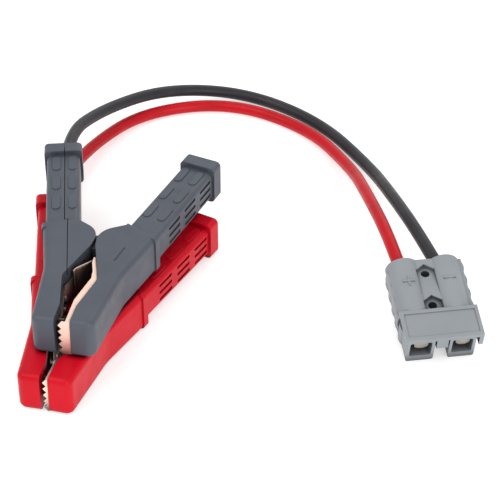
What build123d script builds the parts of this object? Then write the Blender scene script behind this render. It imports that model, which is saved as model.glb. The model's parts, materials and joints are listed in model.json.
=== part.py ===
from build123d import *
import os
from dataclasses import dataclass
from math import cos, pi, radians, sin, tan

# Battery-clamp lead: two insulated spring clamps lying one on the other, two single-core
# cables and a two-pole connector. Millimetres. +Z is up, +Y runs from the clamps' jaws to
# their handles, and the origin is on the bench, under the middle of the two clamps.

os.makedirs("parts", exist_ok=True)

# ---------------------------------------------------------------- driving dimensions
# Clamp arms. An arm is drawn beside its hinge pin, which stands at (0, 0).
THICKNESS = 20.0  # height of a clamp lying flat
LOBE_R = 10.5  # round shoulder beside the hinge
LOBE_GAP = 0.45  # from the hinge line to the lobe
NOSE_Y = -62.0  # front face of the nose
NOSE_IN = 3.7  # hinge line to the nose's inner edge
INNER_EDGE = [(0.9, -5.0), (8.4, -29.5), (3.9, -50.0), (NOSE_IN, NOSE_Y)]
OUTER_EDGE = [(14.2, NOSE_Y), (15.6, -50.0), (18.6, -24.5), (27.6, 6.5)]
SHOULDER = [(12.2, 15.4), (11.5, 12.45)]
BULGE_R = 6.0
NOSE_CORNER_R = 4.0
FLANK_R = 30.0
BODY_ROUND = 2.8
HANDLE_ANGLE = 15.0  # each handle's angle from the clamp's axis
HANDLE_T = 15.7  # handle centre line to hinge pin, across the handle
HANDLE_WIDTH = 16.4
HANDLE_DEEP = 15.2
HANDLE_START = 11.0  # along the handle, inside the body
COLLAR_START = 10.8
COLLAR_LENGTH = 3.6
COLLAR_WIDTH = 19.8
RIM_START = 73.2
RIM_LENGTH = 7.0
RIM_WIDTH = 18.8
EDGE_ROUND = 2.4

# Finger pads and edge grooves of a handle
PAD_STARTS = (27.3, 43.5, 59.7)
PAD_ACROSS = (-4.6, 3.3)
PAD_LENGTH = 11.5
PAD_WIDTH = 4.0
PAD_RAISED = 0.45
GROOVE_UPS = (-4.0, 0.0, 4.0)
GROOVE_WIDTH = 1.8
GROOVE_DEEP = 0.7

# Parting line between the two shells of the cable arm
SEAM_T = 14.9
SEAM_JOG = 19.0
SEAM_ON_BODY = [(17.8, 15.2), (10.4, -13.0), (5.6, -31.3)]
SEAM_GROOVE = 0.35
SEAM_GROOVE_LOW = 3.2  # a groove reaches this far in from the clamp's flat sides

# Hinge: the cable arm holds the pin and the free arm turns on it, between the outer ears
PIN_R = 2.0
EAR_R = 5.2
EAR_POCKET_R = 5.9
CABLE_EARS = ((2.6, 5.0), (15.0, 17.4))  # low and high face of each ear
FREE_EARS = ((5.3, 7.5), (12.5, 14.7))
EAR_GAP = 0.3
RUNNING_GAP = 0.05  # free ear to pin, on the radius

# Torsion spring
WIRE_R = 0.7
COIL_R = 3.35
COIL_PITCH = 1.55
COIL_LOW = 8.235
LEG_ANGLE = 50.0  # of a leg, from the hinge line's normal
LEG_LENGTH = 10.3
LEG_OVERLAP = 0.5  # the leg's straight start, round the coil's end
LEG_R = 0.72
LEG_SLOT = 2.4

# Copper jaws and what they join
SHEET = 1.0
JAW_LOW, JAW_HIGH = 1.0, 19.0
JAW_LINE = [(3.12, -60.8), (3.35, -49.94), (7.83, -29.52), (2.84, -13.2)]
CABLE_JAW_FRONT = (3.24, -55.5)
CABLE_JAW_LOW, CABLE_JAW_HIGH = 3.5, 13.5
JAW_BEND = 5.0
FLANGE = [(2.8, -38.5), (5.0, -28.5), (4.4, -23.5), (2.6, -17.5), (2.3, -13.6)]
FACE_THICK = 1.0
FREE_FACE_Y, CABLE_FACE_Y = -61.7, -55.5  # front of each jaw's toothed face
TOOTH_COUNT = 5
TOOTH_DEEP = 1.6
TOOTH_GAP = 0.35
RIVET_YS = (-44.0, -36.0)
RIVET_R, RIVET_DEEP = 1.3, 4.0
RIVET_HEAD_R, RIVET_HEAD = 2.4, 0.9
TAIL_LOW, TAIL_HIGH = 5.2, 14.8
TAIL_T = 14.0
TAIL_END = 38.0
TAIL_START = -2.0  # along the handle, where the tail becomes straight
TAIL_ROOT = [(2.9, -13.4), (3.6, -10.6)]
SLOT_EXTRA = 0.6
STRAP_ON_CABLE_JAW = [(-4.91, -22.75), (-4.04, -19.85)]
STRAP_ON_FREE_JAW = (2.25, -13.95)
STRAP_THICK = 0.6
STRAP_LOW, STRAP_HIGH = 4.0, 17.8

# Cable fixing inside the handle
CHAMBER = [(10, -6), (10, 8), (14, 12.2), (25.0, 9.5), (17, -19.5), (11, -21), (7.0, -12.5)]
CHAMBER_LOW, CHAMBER_HIGH = 4.6, 15.4
POCKET_WIDTH = 12.0
POCKET_START, POCKET_END = 10.0, 56.0
LUG_START, LUG_BARREL, LUG_END = 27.0, 39.0, 54.0
LUG_PALM = 1.8
LUG_R = 3.3
SCREW_S = 33.0
SCREW_R, SCREW_HEAD_R, SCREW_HEAD = 2.0, 3.5, 2.2
NUT_HIGH, NUT_FLATS = 3.2, 7.0
SCREW_HOLE_R = 2.15

# Cables
CABLE_D = 6.3
CONDUCTOR_D = 4.8
CABLE_END = 55.5  # along the handle, where the insulation stops
RIM_HOLE_D = 7.4
RIM_FLARE = 1.2

CABLE_STRAIGHT = 100.5  # along the handle, where the cable may start to bend

# Two-pole connector, drawn from its front bottom edge: +X right, +Y to the rear, +Z up
HOUSING_WIDTH, HOUSING_LENGTH, HOUSING_HIGH = 36.5, 47.6, 16.0
REAR_WIDTH = 35.3
POLES = (-10.5, 9.0)  # positive and negative core
CORE_Z = 8.0
LOBE_CORE_R = 8.0
SADDLE_HIGH, FLANK_HIGH = 13.6, 11.5
HOOD_LENGTH = 16.5
HOOD_LOW = 13.8
BOXES = ((-17.4, -4.4), (2.45, 14.75))  # left and right side of each front box
BOX_FACE = 1.4
BOX_ROUND = 1.2
SOCKET_LOW, SOCKET_HIGH, SOCKET_DEEP = 3.6, 13.2, 15.4
CHANNEL_HALF, CHANNEL_DEEP = 3.7, 24.0  # the narrower room behind a socket
TAB = (-3.6, 1.8, 8.1)  # left, right, low
HOOK = (16.3, 18.25, 8.3)
RIB_COUNTS = ((-1, 5), (1, 4))  # scallops along the left and right flank
RIB_REAR, RIB_PITCH = 43.4, 7.7
RIB_X, RIB_OUT, RIB_HALF = 16.75, 1.6, 3.8
RIB_LOW, RIB_HIGH = 0.8, 10.8
SIGN_Y, SIGN_LONG, SIGN_WIDE = 34.2, 5.8, 1.0
BOLT_R = 2.1
BOLT_X = -1.1
BOLT_YS = (40.1, 21.9)
POCKET_HALF, POCKET_SHOULDER, POCKET_DEEP = 4.5, 3.2, 2.2
BORE_R = 4.4
ENTRY_R, ENTRY_DEEP = 5.4, 7.6  # a bore widens to this at the rear
CABLE_IN = 9.1  # how far a cable goes into the housing
REAR_STRAIGHT = 27.5  # and its straight length from there
CABLE_ENTRIES = ((-10.5, -12.5), (9.0, 2.3))  # each cable's side place, inside and behind
BARREL_R, BARREL_START, BARREL_END = 3.25, 22.0, 37.0
TONGUE_WIDTH, TONGUE_THICK, TONGUE_START = 6.6, 1.6, 1.5
TONGUE_LIP = 2.2
LEAF_WIDTH, LEAF_THICK = 4.8, 0.6
CONNECTOR_AT = (165.4, -6.3)
CONNECTOR_TURN = 19.7
PITCH = 14.4  # rear end up, held by the stiff cables

# Clamps' place on the bench, measured from the black clamp's hinge pin to the origin
ORIGIN = (0.05, -1.28)


@dataclass
class Clamp:
    """Where one clamp lies, and how far its jaws are closed."""

    colour: str
    x: float
    y: float
    z: float
    turn: float  # of the whole clamp, degrees
    closed: float  # of each arm towards the other, degrees
    teeth_x: float  # where the two rows of teeth meet
    flange_x: float  # inner edge of the free jaw's flanges, near the nose
    route: tuple  # bends of its cable, from handle to connector

    def plane(self):
        return Plane(origin=(self.x - ORIGIN[0], self.y - ORIGIN[1], self.z)).rotated(
            (0, 0, self.turn)
        )

    def arm(self, side):
        """The plane of an arm's underside; side is 1 for the free arm, -1 for the cable arm."""
        return self.plane().rotated((0, 0, -side * self.closed))

    def handle(self, side, s, across=0.0, up=0.0):
        """The plane square to a handle at s, about its centre line: Z runs out, Y runs up."""
        arm = self.arm(side)
        x, y = along_handle(s, HANDLE_T + across)
        a = radians(HANDLE_ANGLE)
        origin = arm.from_local_coords((side * x, y, THICKNESS / 2 + up))
        out = arm.from_local_coords((side * (x + sin(a)), y + cos(a), THICKNESS / 2 + up))
        inward = arm.from_local_coords((side * x - cos(a), y + side * sin(a), THICKNESS / 2 + up))
        return Plane(origin=origin, x_dir=inward - origin, z_dir=out - origin)


def along_handle(s, t):
    """The plan position of a point s along and t across a handle, on the free arm's side."""
    a = radians(HANDLE_ANGLE)
    return (t * cos(a) + s * sin(a), s * cos(a) - t * sin(a))


def mirrored(side, points):
    return [(side * x, y) for x, y in points]


BLACK_ROUTE = (
    (-35.5, 137.5, 19.0),
    (-10.0, 177.0, 11.0),
    (32.0, 194.0, 3.2),
    (77.7, 172.8, 3.2),
    (110.9, 132.6, 5.2),
    (128.6, 90.0, 18.6),
)
RED_ROUTE = (
    (-38.0, 122.5, 5.5),
    (-19.0, 163.5, 3.2),
    (26.0, 182.5, 3.2),
    (73.6, 164.7, 3.2),
    (102.4, 125.8, 7.5),
    (114.1, 93.7, 17.5),
)
BLACK = Clamp("black", 0.4, 0.0, THICKNESS + 0.3, 0.9, 0.0, -1.9, 1.4, BLACK_ROUTE)
RED = Clamp("red", -1.9, -16.3, 0.0, -1.6, 1.6, -0.6, 2.5, RED_ROUTE)


# ---------------------------------------------------------------- moulded arms
def body_outline(plane, side):
    """An arm from nose to shoulder, seen from above, with the round lobe beside the hinge."""
    lobe_x = LOBE_R + LOBE_GAP
    end = (lobe_x - LOBE_R * sin(radians(30)), LOBE_R * cos(radians(30)))
    middle = (lobe_x - LOBE_R * cos(radians(30)), LOBE_R * sin(radians(30)))
    start = (LOBE_GAP, 0.0)
    with BuildSketch(plane) as outline:
        with BuildLine():
            Polyline(*mirrored(side, [start] + INNER_EDGE + OUTER_EDGE + SHOULDER + [end]))
            ThreePointArc(*mirrored(side, [end, middle, start]))
        make_face()
    return outline.sketch


def round_outline(plane, side):
    """Rounds the upright corners of an arm's outline: the bulge, the flank and the nose."""
    for place, radius in (
        (INNER_EDGE[1], BULGE_R),
        (OUTER_EDGE[2], FLANK_R),
        (OUTER_EDGE[0], NOSE_CORNER_R),
    ):
        corner = plane.from_local_coords((side * place[0], place[1], THICKNESS / 2))
        upright = edges().filter_by(Axis.Z).sort_by_distance(corner)[0]
        fillet(upright, radius)


def round_flat_sides(plane, side):
    """Rounds the long outer edges and the nose, on both flat sides, but not the inner edges."""
    chosen = []
    for edge in edges():
        at = plane.to_local_coords(edge.center())
        on_flat = min(abs(at.Z), abs(at.Z - THICKNESS)) < 0.01
        outside = side * at.X > 12.6 and at.Y < 12
        front = at.Y < NOSE_Y + 1 and side * at.X > 5
        if on_flat and (outside or front):
            chosen.append(edge)
    fillet(chosen, BODY_ROUND)


def add_block(clamp, side, start, length, width, high):
    """A rounded block square to the handle."""
    with BuildSketch(clamp.handle(side, start)) as shape:
        RectangleRounded(width, high, EDGE_ROUND)
    extrude(shape.sketch, amount=length)


def add_arm(clamp, side):
    """The plain outside of an arm: jaw half, collar, handle and rim."""
    plane = clamp.arm(side)
    extrude(body_outline(plane, side), amount=THICKNESS)
    round_outline(plane, side)
    round_flat_sides(plane, side)
    add_block(clamp, side, HANDLE_START, RIM_START - HANDLE_START, HANDLE_WIDTH, HANDLE_DEEP)
    add_block(clamp, side, COLLAR_START, COLLAR_LENGTH, COLLAR_WIDTH, THICKNESS)
    add_block(clamp, side, RIM_START, RIM_LENGTH, RIM_WIDTH, THICKNESS)


def add_pads(clamp, side):
    """Raised finger pads on the two flat sides of a handle."""
    for start in PAD_STARTS:
        for across in PAD_ACROSS:
            for way in (1, -1):
                face = clamp.handle(side, start, across, way * (HANDLE_DEEP / 2 - 0.3))
                pad = Plane(origin=face.origin, x_dir=face.z_dir, z_dir=face.y_dir * way)
                with BuildSketch(pad) as shape:
                    with Locations((PAD_LENGTH / 2, 0)):
                        SlotOverall(PAD_LENGTH, PAD_WIDTH)
                extrude(shape.sketch, amount=PAD_RAISED + 0.3)


def cut_grooves(clamp, side):
    """Long finger grooves along the outer edge of a handle."""
    for start in PAD_STARTS:
        for up in GROOVE_UPS:
            face = clamp.handle(side, start, HANDLE_WIDTH / 2 - GROOVE_DEEP, up)
            groove = Plane(origin=face.origin, x_dir=face.z_dir, z_dir=face.x_dir * -side)
            with BuildSketch(groove) as shape:
                with Locations((PAD_LENGTH / 2, 0)):
                    SlotOverall(PAD_LENGTH, GROOVE_WIDTH)
            extrude(shape.sketch, amount=2 * GROOVE_DEEP, mode=Mode.SUBTRACT)


def cut_disc(plane, low, high, radius, mode=Mode.SUBTRACT):
    with BuildSketch(plane.offset(low)) as shape:
        Circle(radius)
    extrude(shape.sketch, amount=high - low, mode=mode)


def cut_leg_slot(plane, side):
    """A slot for one leg of the torsion spring."""
    a = radians(LEG_ANGLE)
    start = (COIL_R * sin(a), -COIL_R * cos(a))
    end = (start[0] + (LEG_LENGTH + 0.5) * cos(a), start[1] + (LEG_LENGTH + 0.5) * sin(a))
    low, high = FREE_EARS[0][1], FREE_EARS[1][0]
    with BuildSketch(plane.offset(low)) as shape:
        with BuildLine():
            Line(*mirrored(side, [start, end]))
        trace(line_width=LEG_SLOT)
    extrude(shape.sketch, amount=high - low, mode=Mode.SUBTRACT)


def rivet_plane(clamp, side, y):
    """On the arm's inner edge at y, with Z into the plastic."""
    plane = clamp.arm(side)
    (x1, y1), (x0, y0) = INNER_EDGE[1], INNER_EDGE[2]
    x = x0 + (x1 - x0) * (y - y0) / (y1 - y0)
    at = plane.from_local_coords((side * x, y, THICKNESS / 2))
    into = plane.from_local_coords((side * (x + y1 - y0), y - (x1 - x0), THICKNESS / 2))
    return Plane(origin=at, z_dir=into - at)


def cut_rivet_holes(clamp, side, low, high, radius):
    for y in RIVET_YS:
        with BuildSketch(rivet_plane(clamp, side, y).offset(low)) as shape:
            Circle(radius)
        extrude(shape.sketch, amount=high - low, mode=Mode.SUBTRACT)


def cut_polarity(clamp):
    """A minus sign on the black free arm, and a plus sign on the red one."""
    with BuildSketch(clamp.arm(1).offset(THICKNESS - 0.3)) as shape:
        with Locations(Location((13.8, -10.3, 0), (0, 0, 77))):
            Rectangle(11.0, 0.8)
            if clamp is RED:
                Rectangle(0.8, 8.0)
    extrude(shape.sketch, amount=0.6, mode=Mode.SUBTRACT)


def make_free_arm(clamp):
    """The arm without a cable: one moulding that turns on the hinge pin."""
    plane = clamp.arm(1)
    with BuildPart() as free_arm:
        add_arm(clamp, 1)
        add_pads(clamp, 1)
        cut_grooves(clamp, 1)
        for low, high in CABLE_EARS:
            cut_disc(plane, low - EAR_GAP, high + EAR_GAP, EAR_POCKET_R)
        cut_disc(plane, FREE_EARS[0][1], FREE_EARS[1][0], EAR_POCKET_R)
        for low, high in FREE_EARS:
            cut_disc(plane, low, high, EAR_R, Mode.ADD)
            cut_disc(plane, low, high, PIN_R + RUNNING_GAP)
        cut_leg_slot(plane, 1)
        cut_rivet_holes(clamp, 1, 0.0, RIVET_DEEP + 0.2, RIVET_R)
        cut_polarity(clamp)
    free_arm.part.label = f"{clamp.colour}_free_arm"
    export_step(free_arm.part, f"parts/{clamp.colour}_free_arm.step")


def seam_line():
    """The parting line of the cable arm, from the handle's end to the jaw's inner edge."""
    top = along_handle(RIM_START + RIM_LENGTH + 6.0, SEAM_T)
    return mirrored(-1, [top, along_handle(SEAM_JOG, SEAM_T)] + SEAM_ON_BODY)


def tail_line():
    """The jaw tail's line: off the end of the jaw, through the body's wall, up the handle."""
    return TAIL_ROOT + [along_handle(TAIL_START, TAIL_T), along_handle(TAIL_END, TAIL_T)]


def cut_cable_room(clamp):
    """The hollow of the cable arm: a chamber in the body, and a way out through the handle."""
    plane = clamp.arm(-1)
    with BuildSketch(plane.offset(CHAMBER_LOW)) as shape:
        with BuildLine():
            Polyline(*mirrored(-1, CHAMBER), close=True)
        make_face()
    extrude(shape.sketch, amount=CHAMBER_HIGH - CHAMBER_LOW, mode=Mode.SUBTRACT)
    with BuildSketch(clamp.handle(-1, POCKET_START)) as shape:
        Rectangle(POCKET_WIDTH, CHAMBER_HIGH - CHAMBER_LOW)
    extrude(shape.sketch, amount=POCKET_END - POCKET_START, mode=Mode.SUBTRACT)
    rim_end = RIM_START + RIM_LENGTH
    with BuildSketch(clamp.handle(-1, POCKET_END - 1)) as shape:
        Circle(RIM_HOLE_D / 2)
    extrude(shape.sketch, amount=rim_end + 1 - POCKET_END, mode=Mode.SUBTRACT)
    with BuildSketch(clamp.handle(-1, rim_end)) as shape:
        Circle(RIM_HOLE_D / 2 + RIM_FLARE)
    extrude(shape.sketch, amount=-2 * RIM_FLARE, taper=45, mode=Mode.SUBTRACT)
    with BuildSketch(plane.offset(TAIL_LOW - 0.2)) as shape:
        with BuildLine():
            FilletPolyline(*mirrored(-1, tail_line()[:3]), radius=1.5)
        trace(line_width=SHEET + SLOT_EXTRA)
    extrude(shape.sketch, amount=TAIL_HIGH - TAIL_LOW + 0.4, mode=Mode.SUBTRACT)


def cut_seam_groove(plane):
    for low in (-1.0, THICKNESS - SEAM_GROOVE_LOW):
        with BuildSketch(plane.offset(low)) as shape:
            with BuildLine():
                Polyline(*seam_line())
            trace(line_width=SEAM_GROOVE)
        extrude(shape.sketch, amount=SEAM_GROOVE_LOW + 1.0, mode=Mode.SUBTRACT)


def make_cable_arm_shell(clamp, which):
    """One half of the cable arm: the outer shell carries the nose, the inner one the hinge."""
    plane = clamp.arm(-1)
    with BuildPart() as shell:
        add_arm(clamp, -1)
        add_pads(clamp, -1)
        cut_grooves(clamp, -1)
        cut_cable_room(clamp)
        cut_disc(plane, CABLE_EARS[0][1], CABLE_EARS[1][0], EAR_POCKET_R)
        for low, high in CABLE_EARS:
            cut_disc(plane, low, high, EAR_R, Mode.ADD)
            cut_disc(plane, low, high, PIN_R)
        cut_leg_slot(plane, -1)
        cut_rivet_holes(clamp, -1, 0.0, RIVET_DEEP + 0.2, RIVET_R)
        cut_seam_groove(plane)
        line = seam_line()
        with BuildSketch(plane.offset(-5.0)):
            with BuildLine():
                Polyline(*line, (30.0, line[-1][1]), (30.0, line[0][1]), close=True)
            make_face()
        keep = Mode.INTERSECT if which == "inner" else Mode.SUBTRACT
        extrude(amount=THICKNESS + 10.0, mode=keep)
    shell.part.label = f"{clamp.colour}_cable_arm_{which}_shell"
    export_step(shell.part, f"parts/{clamp.colour}_cable_arm_{which}_shell.step")


# ---------------------------------------------------------------- hinge pin and spring
def make_pin(clamp):
    with BuildPart() as pin:
        cut_disc(clamp.plane(), CABLE_EARS[0][0], CABLE_EARS[1][1], PIN_R, Mode.ADD)
    pin.part.label = f"{clamp.colour}_hinge_pin"
    export_step(pin.part, f"parts/{clamp.colour}_hinge_pin.step")


def make_spring(clamp):
    """A torsion spring round the pin, with one leg in each arm."""
    first = clamp.plane().rotated((0, 0, 270 - LEG_ANGLE)).offset(COIL_LOW)
    turns = 2 + 2 * LEG_ANGLE / 360
    coil = first.location * Helix(COIL_PITCH, COIL_PITCH * turns, COIL_R, mode=Mode.PRIVATE)
    with BuildPart() as spring:
        with BuildSketch(Plane(origin=coil @ 0, z_dir=coil % 0)):
            Circle(WIRE_R)
        sweep(path=coil, is_frenet=True)
        for at, out in ((coil @ 0, (coil % 0) * -1), (coil @ 1, coil % 1)):
            leg = Plane(origin=at, z_dir=(out.X, out.Y, 0)).offset(-LEG_OVERLAP)
            with BuildSketch(leg):
                Circle(LEG_R)
            extrude(amount=LEG_LENGTH + LEG_OVERLAP)
    spring.part.label = f"{clamp.colour}_torsion_spring"
    export_step(spring.part, f"parts/{clamp.colour}_torsion_spring.step")


# ---------------------------------------------------------------- copper jaws
def teeth_edge(clamp, side):
    """The toothed edge of a jaw's front face as X, Z points, tips towards the other jaw."""
    shift = abs(NOSE_Y) * sin(radians(clamp.closed))
    tip = clamp.teeth_x + shift
    if side < 0:
        tip = shift - (clamp.teeth_x + TOOTH_DEEP - TOOTH_GAP)
    step = (JAW_HIGH - JAW_LOW) / TOOTH_COUNT
    points = []
    for i in range(2 * TOOTH_COUNT + 1):
        is_tip = (i % 2 == 1) == (side > 0)
        points.append((tip if is_tip else tip + TOOTH_DEEP, JAW_LOW + i * step / 2))
    return points if side > 0 else points[2:-2]


def add_jaw_wall(plane, side, line, low, high):
    with BuildSketch(plane.offset(low)) as shape:
        with BuildLine():
            FilletPolyline(*mirrored(side, line), radius=JAW_BEND)
        trace(line_width=SHEET)
    extrude(shape.sketch, amount=high - low)


def add_toothed_face(clamp, side, front):
    plane = clamp.arm(side)
    upright = Plane(
        origin=plane.from_local_coords((0, front, 0)), x_dir=plane.x_dir, z_dir=-plane.y_dir
    )
    wall = JAW_LINE[0][0] + SHEET / 2
    teeth = teeth_edge(clamp, side)
    outline = [(wall, teeth[0][1])] + teeth + [(wall, teeth[-1][1])]
    with BuildSketch(upright) as shape:
        with BuildLine():
            Polyline(*mirrored(side, outline), close=True)
        make_face()
    extrude(shape.sketch, amount=-FACE_THICK)


def make_free_jaw(clamp):
    """A channel of copper sheet: wall, toothed face, and a flange along each flat side."""
    plane = clamp.arm(1)
    with BuildPart() as jaw:
        add_jaw_wall(plane, 1, JAW_LINE, JAW_LOW, JAW_HIGH)
        add_toothed_face(clamp, 1, FREE_FACE_Y)
        front = [(clamp.flange_x, JAW_LINE[0][1]), (clamp.flange_x, -45.2)]
        outline = JAW_LINE[::-1] + front + FLANGE
        for low in (JAW_LOW, JAW_HIGH - SHEET):
            with BuildSketch(plane.offset(low)):
                with BuildLine():
                    Polyline(*outline, close=True)
                make_face()
            extrude(amount=SHEET)
        cut_rivet_holes(clamp, 1, -3.0, 0.0, RIVET_R)
    jaw.part.label = f"{clamp.colour}_free_jaw"
    export_step(jaw.part, f"parts/{clamp.colour}_free_jaw.step")


def make_cable_jaw(clamp):
    """A wall with a toothed face, and a tail that carries the current up into the handle."""
    plane = clamp.arm(-1)
    with BuildPart() as jaw:
        line = [CABLE_JAW_FRONT] + JAW_LINE[1:]
        add_jaw_wall(plane, -1, line, CABLE_JAW_LOW, CABLE_JAW_HIGH)
        add_toothed_face(clamp, -1, CABLE_FACE_Y)
        with BuildSketch(plane.offset(TAIL_LOW)):
            with BuildLine():
                FilletPolyline(*mirrored(-1, tail_line()), radius=1.5)
            trace(line_width=SHEET)
        extrude(amount=TAIL_HIGH - TAIL_LOW)
        cut_rivet_holes(clamp, -1, -3.0, 0.0, RIVET_R)
        screw = screw_plane(clamp)
        with BuildSketch(screw.offset(-3.0)):
            Circle(SCREW_HOLE_R)
        extrude(amount=6.0, mode=Mode.SUBTRACT)
    jaw.part.label = f"{clamp.colour}_cable_jaw"
    export_step(jaw.part, f"parts/{clamp.colour}_cable_jaw.step")


def make_rivets(clamp, side, which):
    """The two rivets that hold a jaw to its arm."""
    with BuildPart() as rivets:
        for y in RIVET_YS:
            face = rivet_plane(clamp, side, y)
            wall = 0.1 + SHEET
            with BuildSketch(face.offset(-wall)):
                Circle(RIVET_R)
            extrude(amount=wall + RIVET_DEEP)
            with BuildSketch(face.offset(-wall)):
                Circle(RIVET_HEAD_R)
            extrude(amount=-RIVET_HEAD, taper=20)
    rivets.part.label = f"{clamp.colour}_{which}_jaw_rivets"
    export_step(rivets.part, f"parts/{clamp.colour}_{which}_jaw_rivets.step")


def make_strap(clamp):
    """A flexible copper strap from jaw to jaw, just in front of the hinge."""
    plane = clamp.plane()
    places = [clamp.arm(-1).from_local_coords((x, y, 0)) for x, y in STRAP_ON_CABLE_JAW]
    places.append(clamp.arm(1).from_local_coords((*STRAP_ON_FREE_JAW, 0)))
    with BuildPart() as strap:
        with BuildSketch(plane.offset(STRAP_LOW)):
            with BuildLine():
                FilletPolyline(*[plane.to_local_coords(place) for place in places], radius=1.5)
            trace(line_width=STRAP_THICK)
        extrude(amount=STRAP_HIGH - STRAP_LOW)
    strap.part.label = f"{clamp.colour}_contact_strap"
    export_step(strap.part, f"parts/{clamp.colour}_contact_strap.step")


# ---------------------------------------------------------------- cable fixing
def screw_plane(clamp):
    """The lug screw's plane: on the tail's face towards the lug, with Z into the lug."""
    face = clamp.handle(-1, SCREW_S, TAIL_T + SHEET / 2 - HANDLE_T)
    return Plane(origin=face.origin, x_dir=face.z_dir, z_dir=face.x_dir)


def make_lug(clamp):
    """A crimp lug: flat palm against the jaw's tail, barrel on the cable's conductor."""
    palm_across = TAIL_T + SHEET / 2 + LUG_PALM / 2 - HANDLE_T
    with BuildPart() as lug:
        with BuildSketch(clamp.handle(-1, LUG_START, palm_across)):
            Rectangle(LUG_PALM, TAIL_HIGH - TAIL_LOW)
        extrude(amount=LUG_BARREL + 1.0 - LUG_START)
        with BuildSketch(clamp.handle(-1, LUG_BARREL)):
            Circle(LUG_R)
        extrude(amount=LUG_END - LUG_BARREL)
        with BuildSketch(clamp.handle(-1, LUG_BARREL + 2.0)):
            Circle(CONDUCTOR_D / 2)
        extrude(amount=LUG_END - LUG_BARREL, mode=Mode.SUBTRACT)
        with BuildSketch(screw_plane(clamp)):
            Circle(SCREW_HOLE_R)
        extrude(amount=LUG_PALM + 1.0, mode=Mode.SUBTRACT)
    lug.part.label = f"{clamp.colour}_cable_lug"
    export_step(lug.part, f"parts/{clamp.colour}_cable_lug.step")


def make_screw(clamp):
    face = screw_plane(clamp)
    with BuildPart() as screw:
        with BuildSketch(face.offset(-SHEET)):
            Circle(SCREW_R)
        extrude(amount=SHEET + LUG_PALM + NUT_HIGH)
        with BuildSketch(face.offset(-SHEET)):
            Circle(SCREW_HEAD_R)
        extrude(amount=-SCREW_HEAD)
        with BuildSketch(face.offset(-SHEET - SCREW_HEAD)):
            Rectangle(1.0, 2 * SCREW_HEAD_R)
            Rectangle(2 * SCREW_HEAD_R, 1.0)
        extrude(amount=1.0, mode=Mode.SUBTRACT)
    screw.part.label = f"{clamp.colour}_lug_screw"
    export_step(screw.part, f"parts/{clamp.colour}_lug_screw.step")


def make_nut(clamp):
    with BuildPart() as nut:
        with BuildSketch(screw_plane(clamp).offset(LUG_PALM)):
            RegularPolygon(NUT_FLATS / 2, 6, major_radius=False)
            Circle(SCREW_R, mode=Mode.SUBTRACT)
        extrude(amount=NUT_HIGH)
    nut.part.label = f"{clamp.colour}_lug_nut"
    export_step(nut.part, f"parts/{clamp.colour}_lug_nut.step")


def make_clamp_conductor(clamp):
    """The bared copper of the cable, inside the lug's barrel."""
    with BuildPart() as conductor:
        with BuildSketch(clamp.handle(-1, LUG_BARREL + 2.5)):
            Circle(CONDUCTOR_D / 2)
        extrude(amount=CABLE_END - LUG_BARREL - 2.5)
    conductor.part.label = f"{clamp.colour}_clamp_conductor"
    export_step(conductor.part, f"parts/{clamp.colour}_clamp_conductor.step")


# ---------------------------------------------------------------- two-pole connector
def connector_plane():
    base = Plane(origin=(CONNECTOR_AT[0] - ORIGIN[0], CONNECTOR_AT[1] - ORIGIN[1], 0))
    return base.rotated((PITCH, 0, 0)).rotated((0, 0, CONNECTOR_TURN))


def across_connector(x, y, z):
    """A plane square to the connector's length, with its Z to the front and its Y up."""
    base = connector_plane()
    origin = base.from_local_coords((x, y, z))
    return Plane(origin=origin, x_dir=base.x_dir, z_dir=base.y_dir * -1)


def add_bar(left, right, low, high, start, end, mode=Mode.ADD, round_by=0.0):
    """A straight bar along the connector, between two upright and two flat sides."""
    with BuildSketch(across_connector((left + right) / 2, start, (low + high) / 2)) as shape:
        if round_by:
            RectangleRounded(right - left, high - low, round_by)
        else:
            Rectangle(right - left, high - low)
    extrude(shape.sketch, amount=start - end, mode=mode)


def cut_bolt_pocket(apex, front, rise):
    """A sunk pocket round a bolt hole, pointed at the rear and rising to the front."""
    floor_z = SADDLE_HIGH - POCKET_DEEP
    low = connector_plane().from_local_coords((BOLT_X, apex, floor_z))
    fore = connector_plane().from_local_coords((BOLT_X, front, floor_z + rise))
    floor = Plane(origin=low, x_dir=connector_plane().x_dir, z_dir=tilt(low, fore))
    length = (fore - low).length
    w = POCKET_HALF
    outline = [(0, 0), (w, -POCKET_SHOULDER), (w, -length), (-w, -length), (-w, -POCKET_SHOULDER)]
    with BuildSketch(floor) as shape:
        with BuildLine():
            Polyline(*outline, close=True)
        make_face()
    extrude(shape.sketch, amount=POCKET_DEEP + 1.0, mode=Mode.SUBTRACT)


def tilt(low, fore):
    """The upward normal of the plane that runs from low to fore, level across."""
    return connector_plane().x_dir.cross((low - fore).normalized())


def add_sign(x, turn_too):
    """A raised bar on a lobe's top, with a second one across it for the positive core."""
    top = Plane(
        origin=connector_plane().from_local_coords((x, SIGN_Y, HOUSING_HIGH - 0.3)),
        x_dir=connector_plane().x_dir,
        z_dir=connector_plane().z_dir,
    )
    with BuildSketch(top) as shape:
        Rectangle(SIGN_LONG, SIGN_WIDE)
        if turn_too:
            Rectangle(SIGN_WIDE, SIGN_LONG)
    extrude(shape.sketch, amount=0.6)


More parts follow.
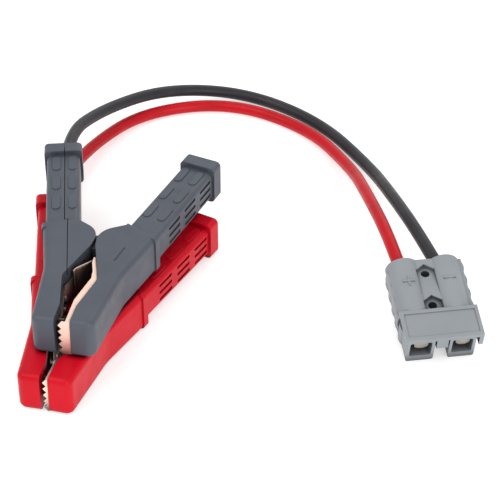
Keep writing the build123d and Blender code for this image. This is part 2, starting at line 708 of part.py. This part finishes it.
def make_housing():
    half = HOUSING_WIDTH / 2
    with BuildPart() as housing:
        add_bar(-half, half, HOOD_LOW, HOUSING_HIGH, 0.0, HOOD_LENGTH + 0.5)
        add_bar(-half + 1.6, half - 1.6, HOUSING_HIGH - 0.4, HOUSING_HIGH + 1, 2.0, 15.0, Mode.SUBTRACT)
        for left, right in BOXES:
            add_bar(left, right, 0.0, HOOD_LOW + 1.5, 0.0, HOOD_LENGTH, round_by=BOX_ROUND)
        add_bar(TAB[0], TAB[1], TAB[2], HOOD_LOW + 0.1, 0.0, HOOD_LENGTH)
        add_bar(HOOK[0], HOOK[1], HOOK[2], HOOD_LOW + 0.1, 0.0, HOOD_LENGTH)
        with BuildSketch(across_connector(0, HOOD_LENGTH, 0)) as rear:
            with Locations((0, FLANK_HIGH / 2)):
                Rectangle(REAR_WIDTH, FLANK_HIGH)
            with Locations((0, SADDLE_HIGH / 2)):
                Rectangle(POLES[1] - POLES[0], SADDLE_HIGH)
            with Locations(*[(x, HOUSING_HIGH - LOBE_CORE_R) for x in POLES]):
                Circle(LOBE_CORE_R)
        extrude(amount=HOOD_LENGTH - HOUSING_LENGTH)
        for side, count in RIB_COUNTS:
            with BuildSketch(connector_plane().offset(RIB_LOW)):
                with Locations(*[(side * RIB_X, RIB_REAR - i * RIB_PITCH) for i in range(count)]):
                    Ellipse(RIB_OUT, RIB_HALF)
            extrude(amount=RIB_HIGH - RIB_LOW)
        cut_bolt_pocket(44.5, 27.0, POCKET_DEEP)
        cut_bolt_pocket(26.5, HOOD_LENGTH, 0.0)
        with BuildSketch(connector_plane().offset(-1.0)):
            with Locations(*[(BOLT_X, y) for y in BOLT_YS]):
                Circle(BOLT_R)
        extrude(amount=HOUSING_HIGH + 2.0, mode=Mode.SUBTRACT)
        for (left, right), pole in zip(BOXES, POLES):
            add_bar(
                left + BOX_FACE, right - BOX_FACE, SOCKET_LOW, SOCKET_HIGH, -1.0, SOCKET_DEEP,
                Mode.SUBTRACT, 1.0,
            )
            add_bar(
                pole - CHANNEL_HALF, pole + CHANNEL_HALF, SOCKET_LOW, SOCKET_HIGH,
                SOCKET_DEEP - 1.0, CHANNEL_DEEP, Mode.SUBTRACT, 1.0,
            )
            with BuildSketch(across_connector(pole, CHANNEL_DEEP - 1.0, CORE_Z)):
                Circle(BORE_R)
            extrude(amount=CHANNEL_DEEP - 2.0 - HOUSING_LENGTH, mode=Mode.SUBTRACT)
            with BuildSketch(across_connector(pole, HOUSING_LENGTH, CORE_Z)):
                Circle(ENTRY_R)
            extrude(amount=ENTRY_DEEP, taper=7.5, mode=Mode.SUBTRACT)
        add_sign(POLES[0], True)
        add_sign(POLES[1], False)
    housing.part.label = "connector_housing"
    export_step(housing.part, "parts/connector_housing.step")


def make_contact(pole, name):
    """Crimp barrel at the rear, flat hooked tongue at the front."""
    top = CORE_Z + BARREL_R
    with BuildPart() as contact:
        with BuildSketch(across_connector(pole, BARREL_START, CORE_Z)):
            Circle(BARREL_R)
        extrude(amount=BARREL_START - BARREL_END)
        half = TONGUE_WIDTH / 2
        low = top - TONGUE_THICK
        add_bar(pole - half, pole + half, low, top, TONGUE_START, BARREL_START + 1.0)
        with BuildSketch(across_connector(pole, TONGUE_START, low + 0.1)):
            Ellipse(half, TONGUE_LIP)
            with Locations((0, TONGUE_LIP)):
                Rectangle(2 * half, 2 * TONGUE_LIP, mode=Mode.SUBTRACT)
        extrude(amount=-1.4)
        with BuildSketch(across_connector(pole, BARREL_START + 2.0, CORE_Z)):
            Circle(CONDUCTOR_D / 2)
        extrude(amount=BARREL_START + 1.0 - BARREL_END, mode=Mode.SUBTRACT)
    contact.part.label = f"{name}_contact"
    export_step(contact.part, f"parts/{name}_contact.step")


def make_leaf_spring(pole, name):
    """A sprung strip on the socket's floor that presses on the mating contact."""
    base = connector_plane()
    side = Plane(
        origin=base.from_local_coords((pole - LEAF_WIDTH / 2, 0, 0)), x_dir=base.y_dir, z_dir=base.x_dir
    )
    with BuildPart() as leaf:
        with BuildSketch(side):
            with BuildLine():
                low = SOCKET_LOW + 0.02 + LEAF_THICK / 2
                FilletPolyline((23.0, low), (17.0, low), (8.0, 7.3), (4.5, 6.6), radius=2.0)
            trace(line_width=LEAF_THICK)
        extrude(amount=LEAF_WIDTH)
    leaf.part.label = f"{name}_leaf_spring"
    export_step(leaf.part, f"parts/{name}_leaf_spring.step")


def make_connector_conductor(pole, name):
    """The bared copper of a cable, inside the contact's barrel."""
    with BuildPart() as conductor:
        with BuildSketch(across_connector(pole, BARREL_START + 2.5, CORE_Z)):
            Circle(CONDUCTOR_D / 2)
        extrude(amount=BARREL_START + 3.0 + CABLE_IN - HOUSING_LENGTH)
    conductor.part.label = f"{name}_connector_conductor"
    export_step(conductor.part, f"parts/{name}_connector_conductor.step")


# ---------------------------------------------------------------- cables
def make_cable(clamp, entry):
    """A single-core cable, from inside the handle to inside the connector."""
    base = connector_plane()
    rear = HOUSING_LENGTH - CABLE_IN
    points = [clamp.handle(-1, CABLE_END).origin, clamp.handle(-1, CABLE_STRAIGHT).origin]
    points += [Vector(x - ORIGIN[0], y - ORIGIN[1], z) for x, y, z in clamp.route]
    inside, behind = entry
    points.append(base.from_local_coords((behind, rear + REAR_STRAIGHT, CORE_Z)))
    points.append(base.from_local_coords((inside, rear, CORE_Z)))
    radii = []
    for before, corner, after in zip(points, points[1:], points[2:]):
        run = min((corner - before).length, (after - corner).length)
        turn = radians((corner - before).get_angle(after - corner))
        radii.append(0.45 * run / tan(turn / 2))
    with BuildPart() as cable:
        with BuildLine() as path:
            FilletPolyline(*points, radius=radii)
        with BuildSketch(Plane(origin=points[0], z_dir=points[1] - points[0])):
            Circle(CABLE_D / 2)
        sweep()
    length = path.wire().length
    print(clamp.colour, "cable runs", [round((b - a).length, 1) for a, b in zip(points, points[1:])])
    print(clamp.colour, "cable length", round(length, 1), "radii", [round(r, 1) for r in radii])
    print("volume ratio", round(cable.part.volume / (length * pi * CABLE_D**2 / 4), 4))
    cable.part.label = f"{clamp.colour}_cable"
    export_step(cable.part, f"parts/{clamp.colour}_cable.step")


for clamp in (BLACK, RED):
    make_free_arm(clamp)
    make_cable_arm_shell(clamp, "outer")
    make_cable_arm_shell(clamp, "inner")
    make_pin(clamp)
    make_spring(clamp)
    make_free_jaw(clamp)
    make_cable_jaw(clamp)
    make_rivets(clamp, 1, "free")
    make_rivets(clamp, -1, "cable")
    make_strap(clamp)
    make_lug(clamp)
    make_screw(clamp)
    make_nut(clamp)
    make_clamp_conductor(clamp)

make_housing()
for i, name, clamp in ((0, "positive", RED), (1, "negative", BLACK)):
    make_contact(POLES[i], name)
    make_leaf_spring(POLES[i], name)
    make_connector_conductor(POLES[i], name)
    make_cable(clamp, CABLE_ENTRIES[i])
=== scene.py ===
import json
from math import cos, pi, radians, sin

import bpy
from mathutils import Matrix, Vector


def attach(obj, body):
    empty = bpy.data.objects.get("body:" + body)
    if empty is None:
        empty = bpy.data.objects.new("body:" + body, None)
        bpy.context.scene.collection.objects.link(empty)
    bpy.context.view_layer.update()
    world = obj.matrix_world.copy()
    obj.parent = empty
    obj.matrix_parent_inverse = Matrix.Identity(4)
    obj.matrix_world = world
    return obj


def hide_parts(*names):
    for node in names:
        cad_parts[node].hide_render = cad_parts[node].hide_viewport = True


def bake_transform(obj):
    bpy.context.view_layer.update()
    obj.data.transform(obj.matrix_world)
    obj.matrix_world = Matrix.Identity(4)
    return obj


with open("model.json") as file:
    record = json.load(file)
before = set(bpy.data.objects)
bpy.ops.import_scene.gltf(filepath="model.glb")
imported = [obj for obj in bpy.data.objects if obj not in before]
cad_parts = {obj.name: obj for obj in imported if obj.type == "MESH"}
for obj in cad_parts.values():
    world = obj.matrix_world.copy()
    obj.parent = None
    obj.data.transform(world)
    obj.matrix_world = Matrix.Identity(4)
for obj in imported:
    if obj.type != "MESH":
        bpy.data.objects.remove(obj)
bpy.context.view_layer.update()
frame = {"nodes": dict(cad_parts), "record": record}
NODES = frame["nodes"]

# ---------------------------------------------------------------- camera and light
WHITE = (1.0, 1.0, 1.0, 1.0)
CAMERA_AT = (0.20325, -0.64082, 0.5463)
LOOK_AT = (0.06215, 0.05778, 0.0)
LENS, SENSOR = 129.6, 36.0
NEAREST, FARTHEST = 0.02, 50.0

LAMP_SIZE = 1.1
LAMPS_AIM = (0.06, 0.05, 0.0)
LAMPS = {
    "key": ((-0.55, -0.35, 1.15), 6.5),
    "fill": ((0.9, -1.0, 0.6), 7.5),
    "back": ((0.2, 1.2, 0.9), 3.0),
}
WORLD_STRENGTH = 0.76


def placed(name, data):
    """A new object in the scene."""
    obj = bpy.data.objects.new(name, data)
    bpy.context.collection.objects.link(obj)
    return obj


def aim(obj, place, target):
    obj.location = place
    obj.rotation_euler = (Vector(target) - Vector(place)).to_track_quat("-Z", "Y").to_euler()


camera_data = bpy.data.cameras.new("camera")
camera_data.lens = LENS
camera_data.sensor_width = SENSOR
camera_data.clip_start = NEAREST
camera_data.clip_end = FARTHEST
camera = placed("camera", camera_data)
aim(camera, CAMERA_AT, LOOK_AT)
bpy.context.scene.camera = camera

for name, (place, power) in LAMPS.items():
    lamp_data = bpy.data.lights.new(name, "AREA")
    lamp_data.shape = "DISK"
    lamp_data.size = LAMP_SIZE
    lamp_data.energy = power
    aim(placed(name, lamp_data), place, LAMPS_AIM)

world = bpy.data.worlds.new("studio")
world.use_nodes = True
background = world.node_tree.nodes["Background"]
background.inputs["Color"].default_value = WHITE
background.inputs["Strength"].default_value = WORLD_STRENGTH
bpy.context.scene.world = world
bpy.context.scene.view_settings.view_transform = "Standard"


# ---------------------------------------------------------------- materials
CREVICE_SAMPLES, BEVEL_SAMPLES = 8, 6


class Shader:
    """A node material built up one step at a time, on object coordinates in metres."""

    def __init__(self, name):
        self.material = bpy.data.materials.new(name)
        self.material.use_nodes = True
        self.tree = self.material.node_tree
        self.surface = self.tree.nodes["Principled BSDF"]
        self.place = self.tree.nodes.new("ShaderNodeTexCoord").outputs["Object"]

    def link(self, a, b):
        self.tree.links.new(a, b)

    def noise(self, scale, detail=4.0, rough=0.55, stretch=(1, 1, 1)):
        mapping = self.tree.nodes.new("ShaderNodeMapping")
        mapping.inputs["Scale"].default_value = stretch
        self.link(self.place, mapping.inputs["Vector"])
        node = self.tree.nodes.new("ShaderNodeTexNoise")
        node.inputs["Scale"].default_value = scale
        node.inputs["Detail"].default_value = detail
        node.inputs["Roughness"].default_value = rough
        self.link(mapping.outputs["Vector"], node.inputs["Vector"])
        return node.outputs["Fac"]

    def spread(self, value, low, high, start=0.3, end=0.7):
        node = self.tree.nodes.new("ShaderNodeMapRange")
        node.inputs["From Min"].default_value = start
        node.inputs["From Max"].default_value = end
        node.inputs["To Min"].default_value = low
        node.inputs["To Max"].default_value = high
        self.link(value, node.inputs["Value"])
        return node.outputs["Result"]

    def mix(self, factor, first, second):
        node = self.tree.nodes.new("ShaderNodeMix")
        node.data_type = "RGBA"
        self.link(factor, node.inputs["Factor"])
        for socket, value in ((node.inputs["A"], first), (node.inputs["B"], second)):
            if isinstance(value, tuple):
                socket.default_value = (*value, 1.0)
            else:
                self.link(value, socket)
        return node.outputs["Result"]

    def crevices(self, reach):
        """0 deep in a crevice, 1 in the open."""
        node = self.tree.nodes.new("ShaderNodeAmbientOcclusion")
        node.samples = CREVICE_SAMPLES
        node.inputs["Distance"].default_value = reach
        return node.outputs["AO"]

    def times(self, first, second):
        node = self.tree.nodes.new("ShaderNodeMath")
        node.operation = "MULTIPLY"
        self.link(first, node.inputs[0])
        self.link(second, node.inputs[1])
        return node.outputs["Value"]

    def colour(self, value):
        self.link(value, self.surface.inputs["Base Color"])

    def roughness(self, value):
        self.link(value, self.surface.inputs["Roughness"])

    def bump(self, heights, strength, last=None):
        """Chains (height, depth in metres) pairs into the surface's normal."""
        for height, depth in heights:
            node = self.tree.nodes.new("ShaderNodeBump")
            node.inputs["Strength"].default_value = strength
            node.inputs["Distance"].default_value = depth
            self.link(height, node.inputs["Height"])
            if last is not None:
                self.link(last, node.inputs["Normal"])
            last = node.outputs["Normal"]
        self.link(last, self.surface.inputs["Normal"])

    def soft_edges(self, radius):
        """The normal with corners rounded off, and a mask that is 1 along them."""
        bevel = self.tree.nodes.new("ShaderNodeBevel")
        bevel.samples = BEVEL_SAMPLES
        bevel.inputs["Radius"].default_value = radius
        geometry = self.tree.nodes.new("ShaderNodeNewGeometry")
        dot = self.tree.nodes.new("ShaderNodeVectorMath")
        dot.operation = "DOT_PRODUCT"
        self.link(bevel.outputs["Normal"], dot.inputs[0])
        self.link(geometry.outputs["Normal"], dot.inputs[1])
        mask = self.spread(dot.outputs["Value"], 1.0, 0.0, 0.8, 0.99)
        return bevel.outputs["Normal"], mask

    def set(self, **values):
        for name, value in values.items():
            self.surface.inputs[name.replace("_", " ")].default_value = value


EDGE_R = 0.0005
# Shares of the base colour painted into crevices as shade (plastic, then metal), and how far that
# painted shade reaches.
PLASTIC_PAINTED_SHADE, METAL_PAINTED_SHADE = 0.16, 0.07
PLASTIC_SHADE_REACH, METAL_SHADE_REACH = 0.0035, 0.014
PLASTIC_SPECULAR, SHEATH_SPECULAR = 0.4, 0.2
METALLIC = 0.65


def faded(colour, share):
    return tuple(share * c for c in colour)


def moulded_plastic(
    name, base, worn, rough, reach=PLASTIC_SHADE_REACH, specular=PLASTIC_SPECULAR
):
    """Moulded plastic: fine grain, faint flow marks, rubbed edges, and painted shade darkening
    its crevices.
    """
    shader = Shader(name)
    tint = shader.mix(shader.spread(shader.noise(45.0), 0.0, 1.0), base, worn)
    normal, edge = shader.soft_edges(EDGE_R)
    rubbed = tuple(min(1.0, 1.35 * c + 0.012) for c in worn)
    patchy = shader.times(edge, shader.spread(shader.noise(240.0, 5.0), 0.15, 0.8))
    clean = shader.mix(patchy, tint, rubbed)
    # Painted shade: crevices are darkened towards a dim share of the base colour, where shade
    # falls.
    open_air = shader.spread(shader.crevices(reach), 0.0, 1.0, 0.25, 0.85)
    shader.colour(shader.mix(open_air, faded(base, PLASTIC_PAINTED_SHADE), clean))
    shader.roughness(shader.spread(shader.noise(160.0, 6.0), rough - 0.06, rough + 0.08))
    shader.bump(
        [
            (shader.noise(2600.0, 2.0), 0.00006),
            (shader.noise(380.0, 4.0), 0.00005),
        ],
        0.35,
        normal,
    )
    shader.set(Specular_IOR_Level=specular)
    return shader.material


def metal(name, base, dark, rough, stretch):
    """Metal with fine rolling lines and uneven tarnish, with painted shade darkening it where it
    is shut in.
    """
    shader = Shader(name)
    tint = shader.mix(shader.spread(shader.noise(120.0), 0.0, 1.0), base, dark)
    # Painted shade: shut-in metal is darkened towards a dim share of its dark tint, where shade
    # falls.
    open_air = shader.spread(shader.crevices(METAL_SHADE_REACH), 0.0, 1.0, 0.58, 0.86)
    shader.colour(shader.mix(open_air, faded(dark, METAL_PAINTED_SHADE), tint))
    shader.set(Metallic=METALLIC)
    lines = shader.noise(900.0, 3.0, 0.6, stretch)
    shader.roughness(shader.spread(lines, rough - 0.08, rough + 0.1))
    shader.bump([(lines, 0.00002)], 0.4)
    return shader.material


def sheath(name, base, second, rough):
    """Extruded cable sheath: smooth, with long faint ripples and scuffs."""
    shader = Shader(name)
    shader.colour(shader.mix(shader.spread(shader.noise(70.0), 0.0, 1.0), base, second))
    shader.roughness(shader.spread(shader.noise(300.0, 5.0), rough - 0.07, rough + 0.1))
    shader.bump(
        [
            (shader.noise(1500.0, 3.0), 0.00003),
            (shader.noise(90.0, 2.0), 0.0001),
        ],
        0.4,
    )
    shader.set(Coat_Weight=0.03, Coat_Roughness=0.3, Specular_IOR_Level=SHEATH_SPECULAR)
    return shader.material


EVEN, ALONG_Z, ALONG_Y = (1, 1, 1), (1, 1, 0.06), (1, 0.1, 1)
FINISHES = {
    "black_plastic": moulded_plastic(
        "black moulding", (0.059, 0.068, 0.088), (0.07, 0.08, 0.102), 0.46
    ),
    "red_plastic": moulded_plastic(
        "red moulding", (0.5, 0.001, 0.01), (0.58, 0.003, 0.015), 0.36, specular=0.14
    ),
    # The grey's painted shade reaches farther, to darken the socket interiors.
    "grey_plastic": moulded_plastic(
        "grey moulding", (0.235, 0.256, 0.275), (0.265, 0.286, 0.305), 0.5, reach=0.009
    ),
    "copper": metal("copper sheet", (0.95, 0.73, 0.61), (0.88, 0.62, 0.5), 0.42, ALONG_Z),
    "steel": metal("zinc-plated steel", (0.62, 0.62, 0.63), (0.5, 0.5, 0.52), 0.32, EVEN),
    "tinned_metal": metal(
        "tinned metal", (0.56, 0.53, 0.46), (0.44, 0.41, 0.34), 0.34, ALONG_Y
    ),
    "red_cable": sheath("red sheath", (0.42, 0.001, 0.005), (0.52, 0.002, 0.01), 0.36),
    "black_cable": sheath(
        "black sheath", (0.022, 0.022, 0.026), (0.032, 0.032, 0.036), 0.38
    ),
}

for entry in frame["record"]["subparts"]:
    for piece_slot in NODES[entry["node"]].material_slots:
        piece_slot.material = FINISHES[entry["material_slot"]]

# ---------------------------------------------------------------- cables
# Places are in millimetres in the row's frame, and angles in degrees.
MM = 1000.0
CABLE_D = 6.3
BASE_UP = {"black": 20.3, "red": 0.0}
HALF_THICK = 10.0
ROUTES = {
    "black": [
        (-35.55, 138.78, 19.0),
        (-10.05, 178.28, 11.0),
        (31.95, 195.28, 3.2),
        (77.65, 174.08, 3.2),
        (110.85, 133.88, 5.2),
        (128.55, 91.28, 18.6),
    ],
    "red": [
        (-38.05, 123.78, 5.5),
        (-19.05, 164.78, 3.2),
        (25.95, 183.78, 3.2),
        (73.55, 165.98, 3.2),
        (102.35, 127.08, 7.5),
        (114.05, 94.98, 17.5),
    ],
}
# Each clamp's hinge pin, its turn on the bench and how far each arm is closed.
CLAMPS = {"black": (0.35, 1.28, 0.9, 0.0), "red": (-1.95, -15.02, -1.6, 1.6)}
# The cable handle's lean and its distance from the pin, then three places along it: where
# the cable starts inside it, the end that the cable leaves by, and the route's next point.
HANDLE_ANGLE, HANDLE_T = 15.0, 15.7
IN_HANDLE, EXIT_AT, PAST_HANDLE = 55.5, 80.2, 100.5
# The connector's front edge, its turn on the bench and its pitch, then each cable's place
# across the connector, inside and behind it, and how far back those two places are.
CONNECTOR = (165.35, -5.02, 19.7, 14.4)
CORE_UP = 8.0
ENTRIES = {"black": (9.0, 2.3), "red": (-10.5, -12.5)}
INSIDE_AT, BEHIND_AT = 38.5, 66.0


def turned(x, y, angle):
    a = radians(angle)
    return x * cos(a) - y * sin(a), x * sin(a) + y * cos(a)


def on_arm(colour, side, x, y, up):
    """A point beside a clamp's hinge pin; side is 1 for the free arm and -1 for the cable arm."""
    pin_x, pin_y, turn, closed = CLAMPS[colour]
    px, py = turned(x, y, turn - side * closed)
    return (pin_x + px, pin_y + py, BASE_UP[colour] + up)


def on_handle(colour, s):
    """A point on the centre line of a clamp's cable handle, s along it."""
    a = radians(HANDLE_ANGLE)
    px = -(HANDLE_T * cos(a) + s * sin(a))
    py = s * cos(a) - HANDLE_T * sin(a)
    return on_arm(colour, -1, px, py, HALF_THICK)


def on_connector(x, y):
    """A point at core height in the connector, x across it and y behind its front edge."""
    ox, oy, turn, pitch = CONNECTOR
    p = radians(pitch)
    back = y * cos(p) - CORE_UP * sin(p)
    up = y * sin(p) + CORE_UP * cos(p)
    px, py = turned(x, back, turn)
    return (ox + px, oy + py, up)


def make_cable(colour):
    inside, behind = ENTRIES[colour]
    points = [
        on_handle(colour, IN_HANDLE),
        on_handle(colour, PAST_HANDLE),
        *ROUTES[colour],
        on_connector(behind, BEHIND_AT),
        on_connector(inside, INSIDE_AT),
    ]
    data = bpy.data.curves.new(f"{colour}_cable_sheath", "CURVE")
    data.dimensions = "3D"
    data.resolution_u = 24
    data.bevel_depth = CABLE_D / 2 / MM
    data.bevel_resolution = 8
    data.use_fill_caps = True
    spline = data.splines.new("NURBS")
    spline.points.add(len(points) - 1)
    for point, at in zip(spline.points, points):
        point.co = (*[c / MM for c in at], 1.0)
    spline.order_u = 3
    spline.use_endpoint_u = True
    data.materials.append(FINISHES[f"{colour}_cable"])
    cable = placed(f"{colour}_cable_sheath", data)
    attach(cable, "lead")
    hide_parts(f"{colour}_cable")


make_cable("red")
make_cable("black")


# ---------------------------------------------------------------- spring and contact strap
def fixed_mesh(obj, name, material):
    """A plain smooth mesh of an object, with its modifiers and bevel worked in."""
    evaluated = obj.evaluated_get(bpy.context.evaluated_depsgraph_get())
    mesh = bpy.data.meshes.new_from_object(evaluated)
    bpy.data.objects.remove(obj)
    for polygon in mesh.polygons:
        polygon.use_smooth = True
    mesh.materials.clear()
    mesh.materials.append(material)
    return placed(name, mesh)


COIL_R, COIL_PITCH, COIL_LOW = 3.35, 1.55, 8.235
WIRE_R, LEG_ANGLE, LEG_LENGTH = 0.7, 50.0, 10.3
COIL_TURNS = 2 + 2 * LEG_ANGLE / 360
COIL_TOP = COIL_LOW + COIL_PITCH * COIL_TURNS
COIL_STEPS = 72


def make_spring(colour):
    """The torsion spring: a coil round the pin, one leg held in each arm."""
    first = radians(270 - LEG_ANGLE)
    line = []
    for i in range(COIL_STEPS + 1):
        a = first + 2 * pi * COIL_TURNS * i / COIL_STEPS
        up = COIL_LOW + (COIL_TOP - COIL_LOW) * i / COIL_STEPS
        line.append((COIL_R * cos(a), COIL_R * sin(a), up))
    out = radians(LEG_ANGLE)
    reach_x, reach_y = LEG_LENGTH * cos(out), LEG_LENGTH * sin(out)
    line.insert(0, (line[0][0] - reach_x, line[0][1] + reach_y, COIL_LOW))
    line.append((line[-1][0] + reach_x, line[-1][1] + reach_y, COIL_TOP))
    pin_x, pin_y, turn, _ = CLAMPS[colour]
    data = bpy.data.curves.new("wire", "CURVE")
    data.dimensions = "3D"
    data.bevel_depth = WIRE_R / MM
    data.bevel_resolution = 4
    data.use_fill_caps = True
    spline = data.splines.new("POLY")
    spline.points.add(len(line) - 1)
    for point, (x, y, up) in zip(spline.points, line):
        px, py = turned(x, y, turn)
        at = (pin_x + px, pin_y + py, BASE_UP[colour] + up)
        point.co = (*[c / MM for c in at], 1.0)
    spring = fixed_mesh(placed("wire", data), f"{colour}_wound_spring", FINISHES["steel"])
    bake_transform(spring)
    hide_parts(f"{colour}_torsion_spring")


STRAP_LOW, STRAP_HIGH, STRAP_THICK, STRAP_BEND = 4.0, 17.8, 0.6, 0.9
# The strap's two ends and its corner beside the pin: which arm, then across and along it.
STRAP_ENDS = ((-1, -4.98, -23.0), (-1, -4.46, -21.2), (1, 2.25, -13.95))
FOLD_DEEP, FOLDS = 0.03, 5
CORNER_STEPS, RUN_STEPS, STEPS_UP = 8, 28, 12


def strap_line(a, b, c):
    """The strap seen from above: a round corner at b, then a run with faint folds to c."""
    bend_from = b + (a - b).normalized() * STRAP_BEND
    bend_to = b + (c - b).normalized() * STRAP_BEND
    rows = [a]
    for i in range(CORNER_STEPS + 1):
        t = i / CORNER_STEPS
        rows.append(bend_from * (1 - t) ** 2 + b * 2 * t * (1 - t) + bend_to * t**2)
    side = (c - b).normalized()
    for i in range(1, RUN_STEPS + 1):
        t = i / RUN_STEPS
        fold = FOLD_DEEP * sin(2 * pi * FOLDS * t) * (4 * t * (1 - t))
        rows.append(bend_to * (1 - t) + c * t + Vector((side.y, -side.x, 0)) * fold)
    return rows


def make_strap(colour):
    """The flexible copper strap from jaw to jaw, laid along both arms where they stand."""
    a, b, c = [Vector(on_arm(colour, *end, 0.0)) for end in STRAP_ENDS]
    rows = strap_line(a, b, c)
    vertices = []
    for row in rows:
        for j in range(STEPS_UP + 1):
            up = STRAP_LOW + (STRAP_HIGH - STRAP_LOW) * j / STEPS_UP
            vertices.append(tuple((row + Vector((0, 0, up))) / MM))
    faces = []
    for i in range(len(rows) - 1):
        for j in range(STEPS_UP):
            k = i * (STEPS_UP + 1) + j
            faces.append((k, k + STEPS_UP + 1, k + STEPS_UP + 2, k + 1))
    mesh = bpy.data.meshes.new("sheet")
    mesh.from_pydata(vertices, [], faces)
    sheet = placed("sheet", mesh)
    thick = sheet.modifiers.new("thickness", "SOLIDIFY")
    thick.thickness = STRAP_THICK / MM
    thick.offset = 0.0
    strap = fixed_mesh(sheet, f"{colour}_flexible_strap", FINISHES["copper"])
    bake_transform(strap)
    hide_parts(f"{colour}_contact_strap")


for colour in ("black", "red"):
    make_spring(colour)
    make_strap(colour)

# ---------------------------------------------------------------- floor
FLOOR_HALF = 3.0
FLOOR_GLOW = 0.5

floor_data = bpy.data.meshes.new("floor")
floor_data.from_pydata(
    [(FLOOR_HALF * x, FLOOR_HALF * y, 0) for x, y in ((-1, -1), (1, -1), (1, 1), (-1, 1))],
    [],
    [(0, 1, 2, 3)],
)
floor = placed("floor", floor_data)
floor_shader = Shader("pale floor")
floor_shader.colour(
    floor_shader.mix(floor_shader.noise(4.0), (0.66, 0.66, 0.66), (0.7, 0.7, 0.7))
)
floor_shader.set(Roughness=0.85, Emission_Color=WHITE, Emission_Strength=FLOOR_GLOW)
floor_data.materials.append(floor_shader.material)
